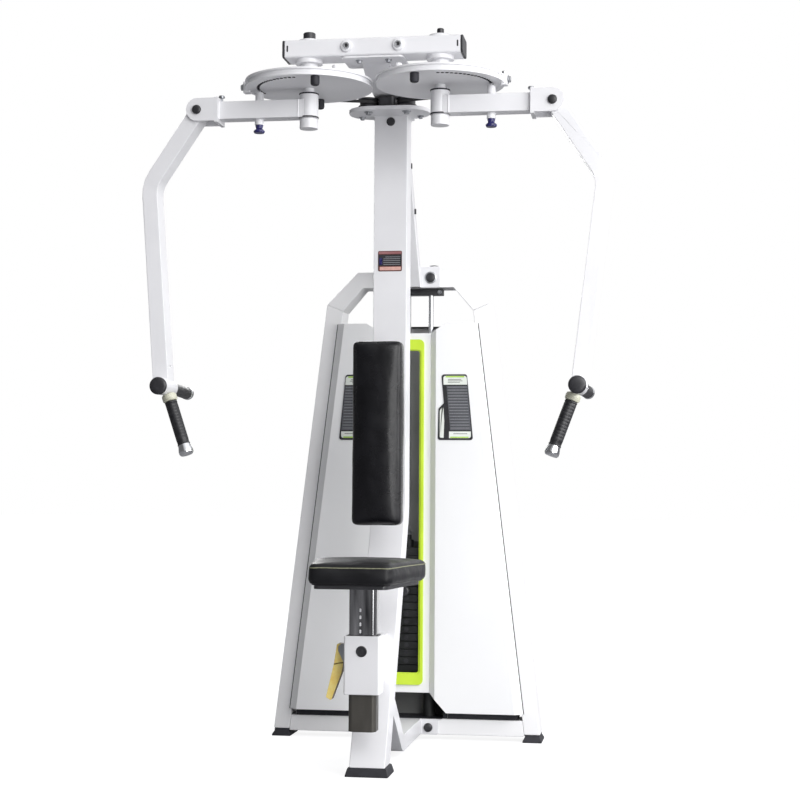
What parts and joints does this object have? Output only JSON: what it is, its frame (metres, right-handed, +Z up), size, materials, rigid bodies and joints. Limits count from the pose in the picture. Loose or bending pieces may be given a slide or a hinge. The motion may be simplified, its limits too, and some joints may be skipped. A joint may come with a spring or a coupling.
{
  "type": "pec deck machine",
  "caption": "Seated chest-fly machine with a weight tower, central mast, overhead cams, hinged arm levers with grips, and an adjustable padded seat.",
  "frame": {"origin": "on the floor, under the middle of the machine's overall box", "axes": "+Z up, the seat and the user face -Y, +X is to the right when looking at the seat from the front"},
  "size_m": [1.3304, 1.14, 2.083],
  "materials": {
    "white_paint": "satin powder coat",
    "cover_paint": "satin powder coat on sheet",
    "rubber": "matt",
    "black_plastic": "matt",
    "black_paint": "satin",
    "leather": "semi-gloss grain",
    "chrome": "polished",
    "stack_steel": "satin grey paint",
    "lime_plastic": "semi-gloss",
    "placard": "printed sheet, plain",
    "yellow_paint": "satin",
    "indigo_knob": "gloss"
  },
  "bodies": {
    "frame": {"mast_tube": "white_paint", "mast_flange": "white_paint", "front_foot": "rubber", "base_brace": "white_paint", "tower_leg_left": "white_paint", "tower_leg_right": "white_paint", "tower_top_bar": "white_paint", "tower_base_bar": "white_paint", "tower_foot_left": "rubber", "tower_foot_right": "rubber", "front_panel_left": "cover_paint", "front_panel_right": "cover_paint", "window_surround": "cover_paint", "window_frame": "lime_plastic", "rear_cover": "cover_paint", "placard_left": "placard", "placard_right": "placard", "guide_rod_left": "chrome", "guide_rod_right": "chrome", "stack_base": "rubber", "resting_plates": "stack_steel", "lift_cable": "black_plastic", "pulley_bracket": "white_paint", "rear_stay": "white_paint", "neck": "white_paint", "crossbeam": "white_paint", "beam_cap_left": "black_plastic", "beam_cap_right": "black_plastic", "pivot_cap_left": "black_plastic", "pivot_cap_right": "black_plastic", "seat_sleeve": "white_paint", "lever_bracket": "white_paint", "backrest_pad": "leather", "backrest_bracket": "white_paint"},
    "weight_stack": {"stack_top_plate": "stack_steel", "lifted_plates": "stack_steel"},
    "selector_pin": {"selector_pin": "black_plastic"},
    "tower_pulley": {"tower_pulley": "black_plastic"},
    "seat": {"seat_post": "chrome", "seat_plate": "black_paint", "seat_pad": "leather"},
    "seat_lever": {"seat_lever": "yellow_paint"},
    "idler_left": {"idler_left": "black_plastic"},
    "cam_left": {"cam_disc_left": "white_paint"},
    "arm_left": {"arm_tube_left": "white_paint"},
    "pop_pin_left": {"pop_pin_left": "indigo_knob"},
    "lever_left": {"lever_tube_left": "white_paint", "rear_grip_left": "rubber", "rear_grip_cap_left": "chrome", "hanging_grip_left": "rubber", "hanging_grip_cap_left": "chrome"},
    "idler_right": {"idler_right": "black_plastic"},
    "cam_right": {"cam_disc_right": "white_paint"},
    "arm_right": {"arm_tube_right": "white_paint"},
    "pop_pin_right": {"pop_pin_right": "indigo_knob"},
    "lever_right": {"lever_tube_right": "white_paint", "rear_grip_right": "rubber", "rear_grip_cap_right": "chrome", "hanging_grip_right": "rubber", "hanging_grip_cap_right": "chrome"}
  },
  "joints": [
    {"name": "stack_lift", "type": "slide", "parent": "frame", "child": "weight_stack", "axis": [0, 0, 1], "range_m": [0, 0.22], "deforming": ["lift_cable"]},
    {"name": "selector_pin_pull", "type": "slide", "parent": "weight_stack", "child": "selector_pin", "axis": [0, -1, 0], "range_m": [0, 0.11]},
    {"name": "tower_pulley_turn", "type": "hinge", "parent": "frame", "child": "tower_pulley", "pos_m": [0, 0.413, 1.546], "axis": [1, 0, 0], "continuous": true},
    {"name": "seat_height", "type": "slide", "parent": "frame", "child": "seat", "axis": [0, 0, 1], "range_m": [-0.07, 0.1]},
    {"name": "seat_lever_swing", "type": "hinge", "parent": "frame", "child": "seat_lever", "pos_m": [-0.064, -0.319, 0.356], "axis": [0, 1, 0], "range_deg": [0, 25], "stiffness_Nm_per_rad": 3, "springref_deg": -14.32},
    {"name": "left_idler_turn", "type": "hinge", "parent": "frame", "child": "idler_left", "pos_m": [-0.057, -0.008, 1.9288], "axis": [0, 0, -1], "continuous": true},
    {"name": "left_cam_turn", "type": "hinge", "parent": "frame", "child": "cam_left", "pos_m": [-0.188, -0.24, 1.933], "axis": [0, 0, 1], "range_deg": [0, 75]},
    {"name": "left_arm_index", "type": "hinge", "parent": "cam_left", "child": "arm_left", "pos_m": [-0.188, -0.24, 1.864], "axis": [0, 0, 1], "range_deg": [-15, 15]},
    {"name": "left_pop_pin_pull", "type": "slide", "parent": "arm_left", "child": "pop_pin_left", "axis": [0, 0, -1], "range_m": [0, 0.016], "stiffness_N_per_m": 800, "springref_m": -0.012},
    {"name": "left_lever_swing", "type": "hinge", "parent": "arm_left", "child": "lever_left", "pos_m": [-0.505, -0.24, 1.864], "axis": [0, 1, 0], "range_deg": [0, 15]},
    {"name": "right_idler_turn", "type": "hinge", "parent": "frame", "child": "idler_right", "pos_m": [0.057, -0.008, 1.9288], "axis": [0, 0, 1], "continuous": true},
    {"name": "right_cam_turn", "type": "hinge", "parent": "frame", "child": "cam_right", "pos_m": [0.188, -0.24, 1.933], "axis": [0, 0, -1], "range_deg": [0, 75]},
    {"name": "right_arm_index", "type": "hinge", "parent": "cam_right", "child": "arm_right", "pos_m": [0.188, -0.24, 1.864], "axis": [0, 0, -1], "range_deg": [-15, 15]},
    {"name": "right_pop_pin_pull", "type": "slide", "parent": "arm_right", "child": "pop_pin_right", "axis": [0, 0, -1], "range_m": [0, 0.016], "stiffness_N_per_m": 800, "springref_m": -0.012},
    {"name": "right_lever_swing", "type": "hinge", "parent": "arm_right", "child": "lever_right", "pos_m": [0.505, -0.24, 1.864], "axis": [0, -1, 0], "range_deg": [0, 15]}
  ],
  "couplings": [
    {"joint": "tower_pulley_turn", "follows": "stack_lift", "rad_per_m": 23.81},
    {"joint": "left_idler_turn", "follows": "stack_lift", "rad_per_m": 38.46},
    {"joint": "left_cam_turn", "follows": "stack_lift", "rad_per_m": 5.9},
    {"joint": "right_idler_turn", "follows": "stack_lift", "rad_per_m": 38.46},
    {"joint": "right_cam_turn", "follows": "stack_lift", "rad_per_m": 5.9}
  ]
}
